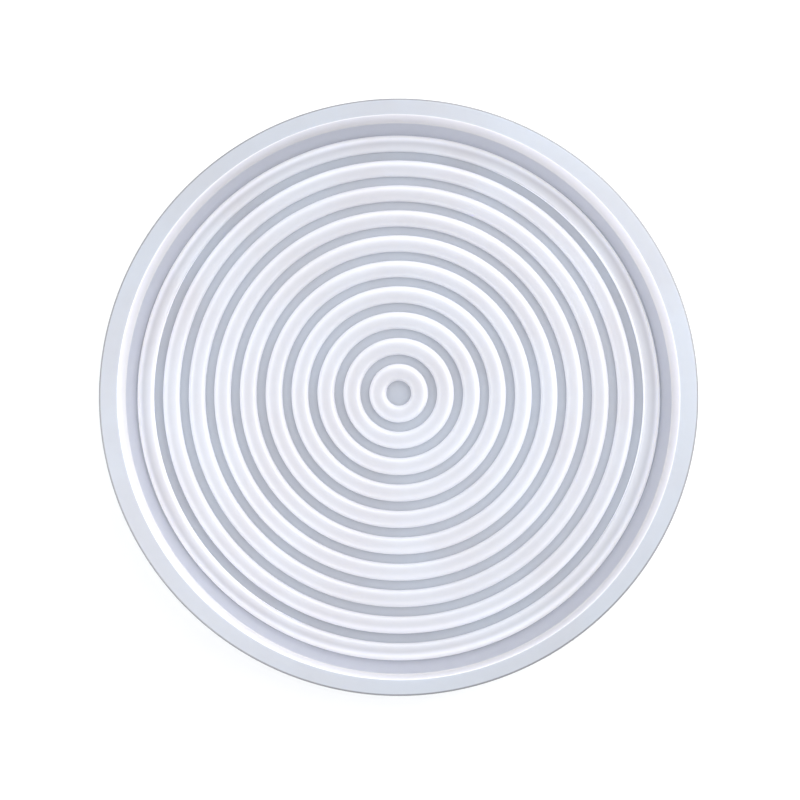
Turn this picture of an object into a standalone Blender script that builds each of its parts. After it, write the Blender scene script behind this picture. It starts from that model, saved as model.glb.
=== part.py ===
"""Open-top silicone mould for casting a round resin coaster.

The mould is one casting: a flat floor with a small centre disc, ten raised rings around it, an upright wall and a
flat rim. The rings leave round grooves in the underside of the cast.

Units are metres. +Z is the axis of the mould and points out of its open side. The origin is the centre of the flat
underside.
"""

import math

import bmesh
import bpy

# Driving dimensions of the cavity, the wall and the floor
CAVITY_RADIUS = 0.0500
CAVITY_DEPTH = 0.0052
WALL_THICKNESS = 0.0033
FLOOR_THICKNESS = 0.0022

# The raised rings, each a half ellipse in section, counted outwards from the centre disc
RIDGE_COUNT = 10
RIDGE_PITCH = 0.004715
RIDGE_WIDTH = 0.00310
RIDGE_HEIGHT = 0.00105
CENTRE_DISC_RADIUS = 0.00234

# Rounded edges
FOOT_RADIUS = 0.00025
INNER_LIP_RADIUS = 0.00025
OUTER_LIP_RADIUS = 0.00045
BASE_EDGE_RADIUS = 0.00050

# Fineness of the faceted solid
TURN_STEPS = 48
RIDGE_SEGMENTS = 6
FILLET_SEGMENTS = 3
MERGE_DISTANCE = 0.00001
SMOOTH_ANGLE = math.radians(35.0)

# Sizes that follow from the driving dimensions
OUTER_RADIUS = CAVITY_RADIUS + WALL_THICKNESS
FLOOR_TOP = FLOOR_THICKNESS
RIM_TOP = FLOOR_THICKNESS + CAVITY_DEPTH

# Translucent white silicone
SILICONE_COLOUR = (0.78, 0.80, 0.89, 1.0)
SILICONE_ROUGHNESS = 0.38
SILICONE_SUBSURFACE = 0.30
SILICONE_SCATTER = (0.0040, 0.0042, 0.0050)


def arc(centre, radii, start, end, segments):
    """Points (radius, height) on an ellipse's arc, from start to end in degrees, both ends included."""
    points = []
    for index in range(segments + 1):
        angle = math.radians(start + (end - start) * index / segments)
        points.append((centre[0] + radii[0] * math.cos(angle), centre[1] + radii[1] * math.sin(angle)))
    return points


def ridge(inner_radius):
    """Section of one raised ring, from its inner foot over the crest to its outer foot."""
    half_width = RIDGE_WIDTH / 2
    centre = (inner_radius + half_width, FLOOR_TOP)
    return arc(centre, (half_width, RIDGE_HEIGHT), 180, 0, RIDGE_SEGMENTS)


def floor_section():
    """The floor's top from the axis to the last ring, with every ring on it."""
    points = [(0.0, FLOOR_TOP)]
    for index in range(RIDGE_COUNT):
        points += ridge(CENTRE_DISC_RADIUS + index * RIDGE_PITCH)
    return points


def wall_section():
    """The foot of the wall, the inner lip, the flat rim, the outer side and the underside, back to the axis."""
    foot = (CAVITY_RADIUS - FOOT_RADIUS, FLOOR_TOP + FOOT_RADIUS)
    inner_lip = (CAVITY_RADIUS + INNER_LIP_RADIUS, RIM_TOP - INNER_LIP_RADIUS)
    outer_lip = (OUTER_RADIUS - OUTER_LIP_RADIUS, RIM_TOP - OUTER_LIP_RADIUS)
    base_edge = (OUTER_RADIUS - BASE_EDGE_RADIUS, BASE_EDGE_RADIUS)
    points = arc(foot, (FOOT_RADIUS, FOOT_RADIUS), -90, 0, FILLET_SEGMENTS)
    points += arc(inner_lip, (INNER_LIP_RADIUS, INNER_LIP_RADIUS), 180, 90, FILLET_SEGMENTS)
    points += arc(outer_lip, (OUTER_LIP_RADIUS, OUTER_LIP_RADIUS), 90, 0, FILLET_SEGMENTS)
    points += arc(base_edge, (BASE_EDGE_RADIUS, BASE_EDGE_RADIUS), 0, -90, FILLET_SEGMENTS)
    points.append((0.0, 0.0))
    return points


def silicone_material():
    """Milky white silicone with a satin surface."""
    material = bpy.data.materials.new("silicone")
    material.use_nodes = True
    shader = material.node_tree.nodes["Principled BSDF"]
    shader.inputs["Base Color"].default_value = SILICONE_COLOUR
    shader.inputs["Roughness"].default_value = SILICONE_ROUGHNESS
    shader.inputs["Metallic"].default_value = 0.0
    shader.inputs["Subsurface Weight"].default_value = SILICONE_SUBSURFACE
    shader.inputs["Subsurface Radius"].default_value = SILICONE_SCATTER
    shader.inputs["Subsurface Scale"].default_value = 1.0
    material.diffuse_color = SILICONE_COLOUR
    return material


def profile_mesh(name, points):
    """An open line of edges in the XZ plane, through points given as (radius, height)."""
    shape = bmesh.new()
    corners = [shape.verts.new((radius, 0.0, height)) for radius, height in points]
    for first, second in zip(corners, corners[1:]):
        shape.edges.new((first, second))
    mesh = bpy.data.meshes.new(name)
    shape.to_mesh(mesh)
    shape.free()
    return mesh


def turned_object(name, points, material, collection):
    """A body of revolution about Z, made from its half section."""
    mesh = profile_mesh(name, points)
    mesh.materials.append(material)
    body = bpy.data.objects.new(name, mesh)
    collection.objects.link(body)
    turn = body.modifiers.new("turn", "SCREW")
    turn.axis = "Z"
    turn.angle = math.tau
    turn.screw_offset = 0.0
    turn.steps = TURN_STEPS
    turn.render_steps = TURN_STEPS
    turn.use_merge_vertices = True
    turn.merge_threshold = MERGE_DISTANCE
    turn.use_smooth_shade = True
    return body


def smooth_by_angle(body):
    """Fixes the turned shape as a mesh, with its round stretches smooth and its corners sharp."""
    evaluated = body.evaluated_get(bpy.context.evaluated_depsgraph_get())
    mesh = bpy.data.meshes.new_from_object(evaluated)
    mesh.shade_smooth()
    mesh.set_sharp_from_angle(angle=SMOOTH_ANGLE)
    profile = body.data
    body.modifiers.clear()
    body.data = mesh
    bpy.data.meshes.remove(profile)
    mesh.name = body.name


def clear_scene():
    for item in list(bpy.data.objects):
        bpy.data.objects.remove(item, do_unlink=True)


def main():
    clear_scene()
    collection = bpy.data.collections.new("resin_casting_mould")
    bpy.context.scene.collection.children.link(collection)
    section = floor_section() + wall_section()
    mould = turned_object("mould_body", section, silicone_material(), collection)
    smooth_by_angle(mould)


main()
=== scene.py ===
"""The looks of an open-top silicone mould for a round resin coaster.

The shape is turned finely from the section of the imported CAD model, then eased out of round as a soft casting
is. The silicone, its marks and its light are made here. Sizes are metres and come from the frame. Inside the
silicone's own nodes, places and sizes are millimetres.
"""

import math

import bmesh
import bpy
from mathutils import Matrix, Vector

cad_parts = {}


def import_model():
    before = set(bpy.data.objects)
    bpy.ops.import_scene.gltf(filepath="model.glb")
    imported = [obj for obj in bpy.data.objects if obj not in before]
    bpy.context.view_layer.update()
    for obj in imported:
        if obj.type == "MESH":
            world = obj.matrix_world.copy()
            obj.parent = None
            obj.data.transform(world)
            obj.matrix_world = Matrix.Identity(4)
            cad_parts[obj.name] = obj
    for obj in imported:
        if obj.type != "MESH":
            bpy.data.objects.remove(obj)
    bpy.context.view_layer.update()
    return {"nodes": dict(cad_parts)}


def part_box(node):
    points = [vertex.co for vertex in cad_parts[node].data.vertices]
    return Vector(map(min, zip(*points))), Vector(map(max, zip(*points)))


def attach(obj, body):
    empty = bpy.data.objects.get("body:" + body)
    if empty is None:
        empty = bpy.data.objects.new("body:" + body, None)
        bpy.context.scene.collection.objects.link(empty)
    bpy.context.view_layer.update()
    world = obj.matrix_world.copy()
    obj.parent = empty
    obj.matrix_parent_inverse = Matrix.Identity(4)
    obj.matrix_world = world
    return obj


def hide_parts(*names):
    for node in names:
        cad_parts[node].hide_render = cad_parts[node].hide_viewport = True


NODE = "mould_body"
BODY = "root"

MILLIMETRE = 0.001
ON_PLANE = 0.01 * MILLIMETRE

# Fineness of the turned mesh
TURN_STEPS = 288
RIDGE_SEGMENTS = 18
FILLET_SEGMENTS = 8
FLAT_SEGMENTS = 3
SMOOTH_ANGLE = math.radians(40.0)

# The rounded edges
FOOT_RADIUS = 0.25 * MILLIMETRE
INNER_LIP_RADIUS = 0.25 * MILLIMETRE
OUTER_LIP_RADIUS = 0.45 * MILLIMETRE
BASE_EDGE_RADIUS = 0.50 * MILLIMETRE

# A soft casting is never quite true. Its inside is narrower along one bearing than across it, as a share of
# its radius. Its rings are spaced a little wide halfway out and a little tight at the centre and beside the
# wall. The wall's foot has spread more than its lip, mostly across the narrow bearing, and the lip leans to -Y.
OUT_OF_ROUND = 0.0046
NARROW_BEARING = math.radians(15.0)
SPACING_DRIFT = 0.075 * MILLIMETRE
DRIFT_PERIOD = 50.0 * MILLIMETRE
FOOT_SPREAD = 0.16 * MILLIMETRE
FOOT_SQUEEZE = 0.12 * MILLIMETRE
LIP_SPREAD = 0.06 * MILLIMETRE
LIP_LEAN = 0.12 * MILLIMETRE

# Milky silicone, its colours. Many of the tints are painted light and shade, not the silicone's own colour: the
# floor strips, the channel, the wall, the rim, the outer side, the ring flanks and crests, the lip line and the
# tint along one bearing.
CLEAR_COLOUR = (0.583, 0.600, 0.655)
CLOUDY_COLOUR = (0.602, 0.637, 0.705)
RING_WARMTH = (1.025, 0.993, 0.976)
# Painted shade: the floor strips between the rings are darkened as if shaded by the rings
FLOOR_SHADE_TINT = (0.765, 0.777, 0.803)
# Painted shade: the channel between the last ring and the wall, darkened as the wall's and ring's shadow
CHANNEL_SHADE_COLOUR = (0.548, 0.570, 0.648)
# Painted shade and light on the wall: darker at its foot, lighter towards its top
WALL_FOOT_SHADE_COLOUR = (0.690, 0.680, 0.700)
WALL_TOP_LIT_COLOUR = (0.820, 0.810, 0.850)
# Painted shade: the flat rim is made darker than the rings
RIM_SHADE = 0.885
# Painted shade: the outer side is darkened
SIDE_SHADE_COLOUR = (0.470, 0.490, 0.540)
# Painted light on the rings' outer flanks, stronger beside the wall, and painted shade along their crests
FLANK_LIT_GAIN = 0.08
CREST_SHADE = 0.05
WALL_FLANK_LIT_GAIN = 0.60
SHOW_THROUGH = 0.14
UNDERSIDE_SHADE = 0.86
# Painted light and shade: the silicone is lighter along one diameter, the strongest light's line, and darker
# across it
LIT_AXIS_BEARING = math.radians(30.0)
LIT_AXIS_GAIN = 0.07
# Painted shade: a thin darker line round the outer lip
LIP_LINE_SHADE = 0.66

# Where one colour gives way to the next, in millimetres: above the floor's top, outwards from the last ring,
# in from the cavity's or the outer side's radius, or down from the floor's top or the rim
RING_EDGE = 0.04
CHANNEL_EDGE = 0.15
NEAR_WALL_IN = (1.0, 0.8)
WALL_EDGE = 0.10
TOP_SIDE_DOWN = (1.0, 0.2)
SIDE_IN = (0.30, 0.10)
RIM_DOWN = (0.06, 0.005)
LIP_LINE_IN = (0.46, 0.26)
LIP_LINE_DOWN = (0.40, 0.25)
BENEATH_RINGS_FADE = 0.5
BENEATH_WALL_REACH = 1.5

# The same, as shares of a ring's width or of the cavity's radius
FLANK_SPAN = (0.45, 0.80)
CREST_SPAN = (0.05, 0.30)
BENEATH_RING_SPAN = (0.25, 0.70)
BESIDE_WALL_SPAN = (0.78, 0.98)

# Clouds in the mix and grain on it: the size of their lumps in millimetres
CLOUD_SIZE = 16.0
CLOUD_RANGE = (0.3, 0.7)
GRAIN_SIZE = 1.3
GRAIN = 0.04

# The surface and its relief, in millimetres
PATCH_SIZE = 9.0
ROUGHNESS = (0.285, 0.350)
UNEVEN_SIZE = 9.0
UNEVEN_HEIGHT = 0.015
SATIN_SIZE = 0.18
SATIN_HEIGHT = 0.0010
TURNING_PITCH = 0.3
TURNING_HEIGHT = 0.0003
REFRACTION = 1.41
SPECULAR_LEVEL = 1.0
SCATTER_WEIGHT = 0.5
SCATTER_RADIUS = (0.9, 0.95, 1.1)

# The plain floor that it stands on
STUDIO_FLOOR_COLOUR = (0.93, 0.93, 0.93, 1.0)
STUDIO_FLOOR_ROUGHNESS = 0.9
STUDIO_FLOOR_HALF = 3.0
STUDIO_FLOOR_GAP = 0.05 * MILLIMETRE

# The camera looks nearly straight down, from a little in front
CAMERA_TILT = math.radians(4.378)
CAMERA_DISTANCE = 195.44 * MILLIMETRE
CAMERA_AIM = (0.244 * MILLIMETRE, -1.251 * MILLIMETRE)
CAMERA_LENS = 48.26
CAMERA_SENSOR = 36.0
CAMERA_CLIP = (0.01, 100.0)

# A ring of softboxes, strongest along one line across the mould
RING_LIGHTS = 12
RING_ELEVATION = math.radians(26.0)
RING_DISTANCE = 0.5
RING_SOFTBOX = 0.25
RING_POWER = 0.41
RING_SWING = 0.175
KEY_BEARING = math.radians(30.0)
KEY_POWER = 0.31
RING_LEAN = 0.06
LIGHT_COLOUR = (1.0, 1.0, 1.0)
SKY_COLOUR = (0.98, 0.99, 1.0)
SKY_STRENGTH = 0.5


def read_section(node):
    """The CAD model's half section on the +X side, as points (radius, height)."""
    points = set()
    for vertex in node.data.vertices:
        if abs(vertex.co.y) < ON_PLANE and vertex.co.x > -ON_PLANE:
            points.add((round(max(vertex.co.x, 0.0), 7), round(vertex.co.z, 7)))
    return sorted(points)


def read_sizes(node):
    """The mould's sizes, from its section: the floor, both ends of each ring, the cavity and the rim."""
    section = read_section(node)
    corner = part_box(NODE)[1]
    floor_top = section[0][1]
    on_floor = [radius for radius, height in section if abs(height - floor_top) < ON_PLANE]
    ends = on_floor[:-1]
    on_rings = [height for radius, height in section if radius < ends[-1]]
    return {
        "outer": corner.x,
        "rim": corner.z,
        "floor": floor_top,
        "cavity": on_floor[-1] + FOOT_RADIUS,
        "ridges": list(zip(ends[0::2], ends[1::2])),
        "ridge_height": max(on_rings) - floor_top,
    }


def arc(centre, radii, start, end, segments):
    """Points on an ellipse's arc, from start to end in degrees, both ends included."""
    points = []
    for index in range(segments + 1):
        angle = math.radians(start + (end - start) * index / segments)
        points.append((centre[0] + radii[0] * math.cos(angle), centre[1] + radii[1] * math.sin(angle)))
    return points


def line(first, second, segments):
    """Points between two ends, both left out."""
    points = []
    for index in range(1, segments):
        share = index / segments
        points.append(tuple(a + (b - a) * share for a, b in zip(first, second)))
    return points


def ridge(inner, outer, floor, height):
    """Section of one raised ring, from its inner foot over the crest to its outer foot."""
    half = (outer - inner) / 2
    return arc((inner + half, floor), (half, height), 180, 0, RIDGE_SEGMENTS)


def section_points(sizes):
    """The half section: from the axis over the rings, the wall and the rim, then down the side and back."""
    floor = sizes["floor"]
    stretches = []
    for inner, outer in sizes["ridges"]:
        stretches.append(ridge(inner, outer, floor, sizes["ridge_height"]))
    foot = (sizes["cavity"] - FOOT_RADIUS, floor + FOOT_RADIUS)
    inner_lip = (sizes["cavity"] + INNER_LIP_RADIUS, sizes["rim"] - INNER_LIP_RADIUS)
    outer_lip = (sizes["outer"] - OUTER_LIP_RADIUS, sizes["rim"] - OUTER_LIP_RADIUS)
    base_edge = (sizes["outer"] - BASE_EDGE_RADIUS, BASE_EDGE_RADIUS)
    stretches.append(arc(foot, (FOOT_RADIUS, FOOT_RADIUS), -90, 0, FILLET_SEGMENTS))
    stretches.append(arc(inner_lip, (INNER_LIP_RADIUS, INNER_LIP_RADIUS), 180, 90, FILLET_SEGMENTS))
    stretches.append(arc(outer_lip, (OUTER_LIP_RADIUS, OUTER_LIP_RADIUS), 90, 0, FILLET_SEGMENTS))
    stretches.append(arc(base_edge, (BASE_EDGE_RADIUS, BASE_EDGE_RADIUS), 0, -90, FILLET_SEGMENTS))
    points = [(0.0, floor)]
    for stretch in stretches:
        points += line(points[-1], stretch[0], FLAT_SEGMENTS)
        points += stretch
    points += line(points[-1], (0.0, 0.0), FLAT_SEGMENTS)
    points.append((0.0, 0.0))
    return points


def share_between(value, low, high):
    """How far a value has come from low to high, held between 0 and 1."""
    return min(1.0, max(0.0, (value - low) / (high - low)))


def settle(radius, height, angle, sizes):
    """Where a point of the true round shape sits in the relaxed casting. The outer side stays put."""
    inside = share_between(radius, sizes["outer"], sizes["cavity"])
    at_wall = share_between(radius, sizes["ridges"][-1][1], sizes["cavity"])
    up_wall = share_between(height, sizes["floor"], sizes["rim"])
    narrowing = math.cos(2 * (angle - NARROW_BEARING))
    outwards = -OUT_OF_ROUND * radius * narrowing
    outwards -= (1.0 - at_wall) * SPACING_DRIFT * math.cos(math.tau * radius / DRIFT_PERIOD)
    outwards += at_wall * (1.0 - up_wall) * (FOOT_SPREAD - FOOT_SQUEEZE * narrowing)
    outwards += at_wall * up_wall * (LIP_SPREAD - LIP_LEAN * math.sin(angle))
    radius = max(0.0, radius + inside * outwards)
    return (radius * math.cos(angle), radius * math.sin(angle), height)


def turned_piece(name, section, sizes):
    """A closed body of revolution about Z, with one vertex at each end of the axis."""
    shape = bmesh.new()
    top = shape.verts.new((0.0, 0.0, section[0][1]))
    bottom = shape.verts.new((0.0, 0.0, section[-1][1]))
    rings = []
    for radius, height in section[1:-1]:
        ring = []
        for step in range(TURN_STEPS):
            angle = math.tau * step / TURN_STEPS
            ring.append(shape.verts.new(settle(radius, height, angle, sizes)))
        rings.append(ring)
    for step in range(TURN_STEPS):
        following = (step + 1) % TURN_STEPS
        shape.faces.new((top, rings[0][step], rings[0][following]))
        for inner, outer in zip(rings, rings[1:]):
            shape.faces.new((inner[step], outer[step], outer[following], inner[following]))
        shape.faces.new((bottom, rings[-1][following], rings[-1][step]))
    mesh = bpy.data.meshes.new(name)
    shape.to_mesh(mesh)
    shape.free()
    mesh.shade_smooth()
    mesh.set_sharp_from_angle(angle=SMOOTH_ANGLE)
    piece = bpy.data.objects.new(name, mesh)
    bpy.context.scene.collection.objects.link(piece)
    return piece


class Nodes:
    """Short names for building one material's node tree."""

    def __init__(self, material):
        material.use_nodes = True
        self.tree = material.node_tree
        self.shader = self.tree.nodes["Principled BSDF"]

    def add(self, kind, **settings):
        node = self.tree.nodes.new(kind)
        for key, value in settings.items():
            setattr(node, key, value)
        return node

    def feed(self, socket, value):
        """Gives a socket its value: another node's output, or a fixed number."""
        if isinstance(value, bpy.types.NodeSocket):
            self.tree.links.new(value, socket)
        else:
            socket.default_value = value

    def math(self, operation, *values):
        node = self.add("ShaderNodeMath", operation=operation)
        for socket, value in zip(node.inputs, values):
            self.feed(socket, value)
        return node.outputs[0]

    def vector(self, operation, first, second):
        node = self.add("ShaderNodeVectorMath", operation=operation)
        self.feed(node.inputs[0], first)
        self.feed(node.inputs[1], second)
        return node.outputs["Value"] if operation == "LENGTH" else node.outputs["Vector"]

    def dot(self, first, second):
        node = self.add("ShaderNodeVectorMath", operation="DOT_PRODUCT")
        self.feed(node.inputs[0], first)
        self.feed(node.inputs[1], second)
        return node.outputs["Value"]

    def stretch(self, value, low, high, to_low=0.0, to_high=1.0):
        """Maps low..high of a value onto another range, held at its ends and eased in between."""
        node = self.add("ShaderNodeMapRange", interpolation_type="SMOOTHSTEP")
        for socket, item in zip(node.inputs, (value, low, high, to_low, to_high)):
            self.feed(socket, item)
        return node.outputs["Result"]

    def noise(self, place, size, detail=2.0):
        """A cloud between 0 and 1 whose lumps are about this size."""
        node = self.add("ShaderNodeTexNoise")
        self.feed(node.inputs["Vector"], place)
        self.feed(node.inputs["Scale"], 1.0 / size)
        self.feed(node.inputs["Detail"], detail)
        return node.outputs["Fac"]

    def mix(self, share, first, second):
        """A colour between two others, each a node's output or three numbers."""
        node = self.add("ShaderNodeMix", data_type="RGBA")
        self.feed(node.inputs["Factor"], share)
        for name, colour in (("A", first), ("B", second)):
            socket = [item for item in node.inputs if item.name == name and item.type == "RGBA"][0]
            self.feed(socket, colour if isinstance(colour, bpy.types.NodeSocket) else (*colour, 1.0))
        return [item for item in node.outputs if item.type == "RGBA"][0]

    def shade(self, colour, factor):
        """A colour made darker or lighter by a number."""
        node = self.add("ShaderNodeVectorMath", operation="SCALE")
        self.feed(node.inputs[0], colour)
        self.feed(node.inputs["Scale"], factor)
        return node.outputs["Vector"]


def places(nodes):
    """The place on the mould in millimetres: as a point, as a distance from the axis and as a height."""
    coordinates = nodes.add("ShaderNodeTexCoord")
    point = nodes.add("ShaderNodeVectorMath", operation="SCALE")
    nodes.feed(point.inputs[0], coordinates.outputs["Object"])
    nodes.feed(point.inputs["Scale"], 1.0 / MILLIMETRE)
    point = point.outputs["Vector"]
    flat = nodes.vector("MULTIPLY", point, (1.0, 1.0, 0.0))
    radius = nodes.vector("LENGTH", flat, (0.0, 0.0, 0.0))
    parts = nodes.add("ShaderNodeSeparateXYZ")
    nodes.feed(parts.inputs[0], point)
    return point, radius, parts.outputs["Z"]


def place_on_ring(nodes, radius, sizes):
    """How far across its own ring a place is, and how wide a ring is."""
    first_inner, first_outer = [end / MILLIMETRE for end in sizes["ridges"][0]]
    pitch = sizes["ridges"][1][0] / MILLIMETRE - first_inner
    across = nodes.math("FLOORED_MODULO", nodes.math("SUBTRACT", radius, first_inner), pitch)
    return across, first_outer - first_inner


def ring_tint(nodes, radius, sizes):
    """Painted shade and light on each ring: darker along its crest, and lighter on its outer flank, most of all
    beside the wall, where it offsets the wall's shadow.
    """
    across, width = place_on_ring(nodes, radius, sizes)
    cavity = sizes["cavity"] / MILLIMETRE
    flank = nodes.stretch(across, FLANK_SPAN[0] * width, FLANK_SPAN[1] * width)
    wall_span = [share * cavity for share in BESIDE_WALL_SPAN]
    beside_wall = nodes.stretch(radius, *wall_span, FLANK_LIT_GAIN, WALL_FLANK_LIT_GAIN)
    off_crest = nodes.math("ABSOLUTE", nodes.math("SUBTRACT", across, width / 2))
    crest = nodes.stretch(off_crest, CREST_SPAN[0] * width, CREST_SPAN[1] * width, 1.0 - CREST_SHADE, 1.0)
    return nodes.math("MULTIPLY_ADD", flank, beside_wall, crest)


def underside_tint(nodes, radius, sizes):
    """The underside is paler beneath the rings and the wall, where the silicone is thick."""
    across, width = place_on_ring(nodes, radius, sizes)
    cavity = sizes["cavity"] / MILLIMETRE
    last_ring = sizes["ridges"][-1][1] / MILLIMETRE
    off_crest = nodes.math("ABSOLUTE", nodes.math("SUBTRACT", across, width / 2))
    ring_span = [share * width for share in BENEATH_RING_SPAN]
    beneath_ring = nodes.stretch(off_crest, *ring_span, SHOW_THROUGH, 0.0)
    within_rings = nodes.stretch(radius, last_ring, last_ring + BENEATH_RINGS_FADE, 1.0, 0.0)
    wall_span = (cavity - BENEATH_WALL_REACH, cavity + BENEATH_WALL_REACH)
    beneath_wall = nodes.stretch(radius, *wall_span, UNDERSIDE_SHADE, UNDERSIDE_SHADE + SHOW_THROUGH)
    return nodes.math("MULTIPLY_ADD", beneath_ring, within_rings, beneath_wall)


def lit_axis_tint(nodes, point, sizes):
    """Painted light and shade: lighter towards the two ends of one diameter, and darker towards the ends of the
    other.
    """
    outer = sizes["outer"] / MILLIMETRE
    cosine = math.cos(LIT_AXIS_BEARING) / outer
    sine = math.sin(LIT_AXIS_BEARING) / outer
    along = nodes.dot(point, (cosine, sine, 0.0))
    across = nodes.dot(point, (-sine, cosine, 0.0))
    along_squared = nodes.math("MULTIPLY", along, along)
    across_squared = nodes.math("MULTIPLY", across, across)
    difference = nodes.math("SUBTRACT", along_squared, across_squared)
    return nodes.math("MULTIPLY_ADD", difference, LIT_AXIS_GAIN, 1.0)


def lip_line(nodes, radius, height, sizes):
    """One on the thin line of painted shade round the outer lip, and nought elsewhere."""
    outer = sizes["outer"] / MILLIMETRE
    rim = sizes["rim"] / MILLIMETRE
    at_edge = nodes.stretch(radius, outer - LIP_LINE_IN[0], outer - LIP_LINE_IN[1])
    at_top = nodes.stretch(height, rim - LIP_LINE_DOWN[0], rim - LIP_LINE_DOWN[1])
    return nodes.math("MULTIPLY", at_edge, at_top)


def silicone_colour(nodes, point, radius, height, sizes):
    """The colour by place: rings, floor strips, the channel round them, the wall, the rim and the underside,
    with painted light and shade on the rings, strips, channel, wall, rim, outer side and lip.
    """
    floor = sizes["floor"] / MILLIMETRE
    rim = sizes["rim"] / MILLIMETRE
    cavity = sizes["cavity"] / MILLIMETRE
    outer = sizes["outer"] / MILLIMETRE
    last_ring = sizes["ridges"][-1][1] / MILLIMETRE
    share = nodes.stretch(nodes.noise(point, CLOUD_SIZE, 3.0), *CLOUD_RANGE)
    milky = nodes.mix(share, CLEAR_COLOUR, CLOUDY_COLOUR)
    warmed = nodes.vector("MULTIPLY", milky, RING_WARMTH)
    # Painted light on the outer flanks and painted shade along the crests
    rings = nodes.shade(warmed, ring_tint(nodes, radius, sizes))
    raised = nodes.stretch(height, floor, floor + RING_EDGE)
    # Painted shade: the floor strips between the rings are darkened
    colour = nodes.mix(raised, nodes.vector("MULTIPLY", milky, FLOOR_SHADE_TINT), rings)
    # Painted shade in the channel between the last ring and the wall
    in_channel = nodes.stretch(radius, last_ring, last_ring + CHANNEL_EDGE)
    colour = nodes.mix(in_channel, colour, CHANNEL_SHADE_COLOUR)
    # The wall is painted from shade at its foot to light at its top
    up_wall = nodes.stretch(height, floor, rim)
    near_wall = nodes.stretch(radius, cavity - NEAR_WALL_IN[0], cavity - NEAR_WALL_IN[1])
    on_wall = nodes.math("MULTIPLY", near_wall, nodes.stretch(height, floor, floor + WALL_EDGE))
    colour = nodes.mix(on_wall, colour, nodes.mix(up_wall, WALL_FOOT_SHADE_COLOUR, WALL_TOP_LIT_COLOUR))
    on_top_side = nodes.stretch(height, floor - TOP_SIDE_DOWN[0], floor - TOP_SIDE_DOWN[1])
    underside = nodes.shade(milky, underside_tint(nodes, radius, sizes))
    colour = nodes.mix(on_top_side, underside, colour)
    # Painted shade on the outer side
    on_side = nodes.stretch(radius, outer - SIDE_IN[0], outer - SIDE_IN[1])
    colour = nodes.mix(on_side, colour, SIDE_SHADE_COLOUR)
    # Painted shade on the flat rim
    on_rim = nodes.stretch(height, rim - RIM_DOWN[0], rim - RIM_DOWN[1])
    colour = nodes.mix(on_rim, colour, nodes.shade(milky, RIM_SHADE))
    grain = nodes.math("MULTIPLY_ADD", nodes.noise(point, GRAIN_SIZE, 4.0), GRAIN, 1.0 - GRAIN / 2)
    # Painted shade along the outer lip's line, and painted light and shade along and across one bearing
    lined = nodes.math("MULTIPLY_ADD", lip_line(nodes, radius, height, sizes), -LIP_LINE_SHADE, 1.0)
    tint = nodes.math("MULTIPLY", nodes.math("MULTIPLY", grain, lined), lit_axis_tint(nodes, point, sizes))
    return nodes.shade(colour, tint)


def silicone_relief(nodes, point, radius):
    """The surface's relief in millimetres: slow unevenness, satin grain and faint turning marks."""
    uneven = nodes.math("MULTIPLY", nodes.noise(point, UNEVEN_SIZE, 1.0), UNEVEN_HEIGHT)
    satin = nodes.math("MULTIPLY", nodes.noise(point, SATIN_SIZE, 2.0), SATIN_HEIGHT)
    turning = nodes.math("SINE", nodes.math("MULTIPLY", radius, math.tau / TURNING_PITCH))
    turning = nodes.math("MULTIPLY", turning, TURNING_HEIGHT)
    relief = nodes.math("ADD", uneven, satin)
    return nodes.math("ADD", relief, turning)


def silicone_material(sizes):
    """Milky silicone with a satin surface, tinted by its place on the mould; many of these tints are painted
    light and shade.
    """
    material = bpy.data.materials.new("milky_silicone")
    nodes = Nodes(material)
    point, radius, height = places(nodes)
    nodes.feed(nodes.shader.inputs["Base Color"], silicone_colour(nodes, point, radius, height, sizes))
    patches = nodes.noise(point, PATCH_SIZE, 2.0)
    nodes.feed(nodes.shader.inputs["Roughness"], nodes.stretch(patches, *CLOUD_RANGE, *ROUGHNESS))
    bump = nodes.add("ShaderNodeBump")
    nodes.feed(bump.inputs["Height"], silicone_relief(nodes, point, radius))
    nodes.feed(bump.inputs["Distance"], MILLIMETRE)
    nodes.feed(nodes.shader.inputs["Normal"], bump.outputs["Normal"])
    nodes.shader.inputs["IOR"].default_value = REFRACTION
    nodes.shader.inputs["Specular IOR Level"].default_value = SPECULAR_LEVEL
    nodes.shader.inputs["Subsurface Weight"].default_value = SCATTER_WEIGHT
    nodes.shader.inputs["Subsurface Radius"].default_value = SCATTER_RADIUS
    nodes.shader.inputs["Subsurface Scale"].default_value = MILLIMETRE
    return material


def floor_material():
    material = bpy.data.materials.new("pale_floor")
    nodes = Nodes(material)
    nodes.shader.inputs["Base Color"].default_value = STUDIO_FLOOR_COLOUR
    nodes.shader.inputs["Roughness"].default_value = STUDIO_FLOOR_ROUGHNESS
    return material


def floor():
    mesh = bpy.data.meshes.new("floor")
    shape = bmesh.new()
    bmesh.ops.create_grid(shape, x_segments=1, y_segments=1, size=STUDIO_FLOOR_HALF)
    shape.to_mesh(mesh)
    shape.free()
    plane = bpy.data.objects.new("floor", mesh)
    plane.location.z = -STUDIO_FLOOR_GAP
    mesh.materials.append(floor_material())
    bpy.context.scene.collection.objects.link(plane)


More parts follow.
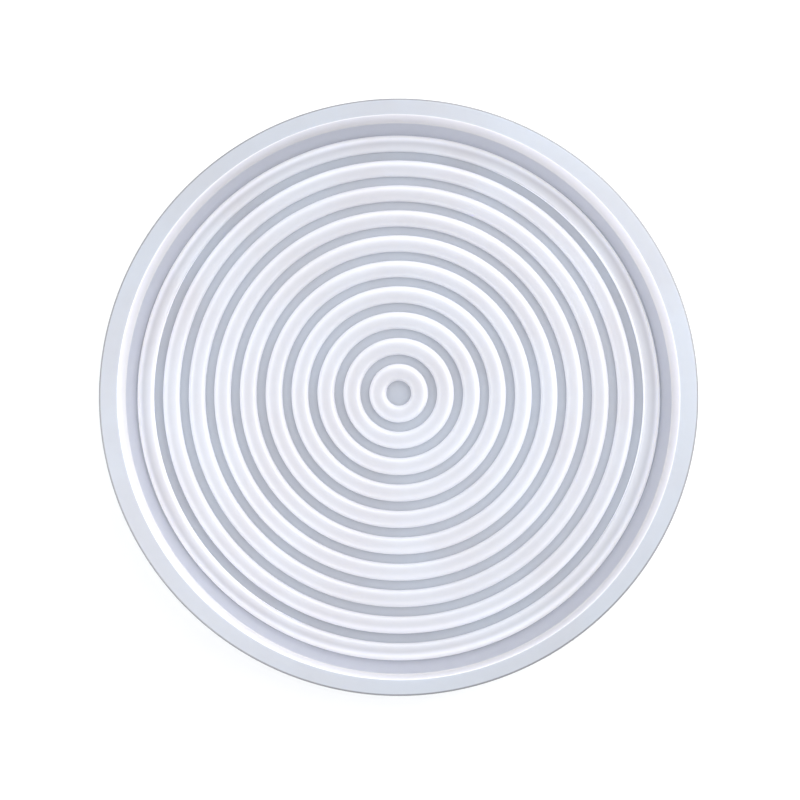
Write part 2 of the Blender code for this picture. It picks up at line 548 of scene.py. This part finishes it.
def softbox(name, bearing, power):
    """A square area light aimed at the origin. Its bearing is counted from +X towards +Y."""
    light = bpy.data.lights.new(name, "AREA")
    light.shape = "SQUARE"
    light.size = RING_SOFTBOX
    light.energy = power
    light.color = LIGHT_COLOUR
    lamp = bpy.data.objects.new(name, light)
    out = Vector((
        math.cos(bearing) * math.cos(RING_ELEVATION),
        math.sin(bearing) * math.cos(RING_ELEVATION),
        math.sin(RING_ELEVATION),
    ))
    lamp.location = out * RING_DISTANCE
    lamp.rotation_mode = "QUATERNION"
    lamp.rotation_quaternion = out.to_track_quat("Z", "Y")
    bpy.context.scene.collection.objects.link(lamp)


def lights():
    """Low softboxes all round the mould, so that both flanks of every ring are lit."""
    for index in range(RING_LIGHTS):
        bearing = math.tau * index / RING_LIGHTS
        turned = bearing - KEY_BEARING
        power = RING_POWER + RING_SWING * math.cos(2 * turned) + KEY_POWER * max(0.0, math.cos(turned)) ** 2
        power += RING_LEAN * math.sin(bearing)
        softbox("softbox_%02d" % index, bearing, power)


def world():
    surroundings = bpy.data.worlds.new("studio")
    surroundings.use_nodes = True
    background = surroundings.node_tree.nodes["Background"]
    background.inputs["Color"].default_value = (*SKY_COLOUR, 1.0)
    background.inputs["Strength"].default_value = SKY_STRENGTH
    bpy.context.scene.world = surroundings
    bpy.context.scene.view_settings.view_transform = "Standard"


def camera(sizes):
    data = bpy.data.cameras.new("camera")
    data.lens = CAMERA_LENS
    data.sensor_width = CAMERA_SENSOR
    data.clip_start, data.clip_end = CAMERA_CLIP
    eye = bpy.data.objects.new("camera", data)
    back = Vector((0.0, -math.sin(CAMERA_TILT), math.cos(CAMERA_TILT)))
    aim = Vector((CAMERA_AIM[0], CAMERA_AIM[1], sizes["floor"]))
    eye.location = aim + back * CAMERA_DISTANCE
    eye.rotation_euler = (CAMERA_TILT, 0.0, 0.0)
    bpy.context.scene.collection.objects.link(eye)
    bpy.context.scene.camera = eye


def mould(sizes):
    piece = turned_piece("silicone_mould", section_points(sizes), sizes)
    piece.data.materials.append(silicone_material(sizes))
    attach(piece, BODY)
    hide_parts(NODE)


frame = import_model()
sizes = read_sizes(frame["nodes"][NODE])
camera(sizes)
mould(sizes)
floor()
lights()
world()
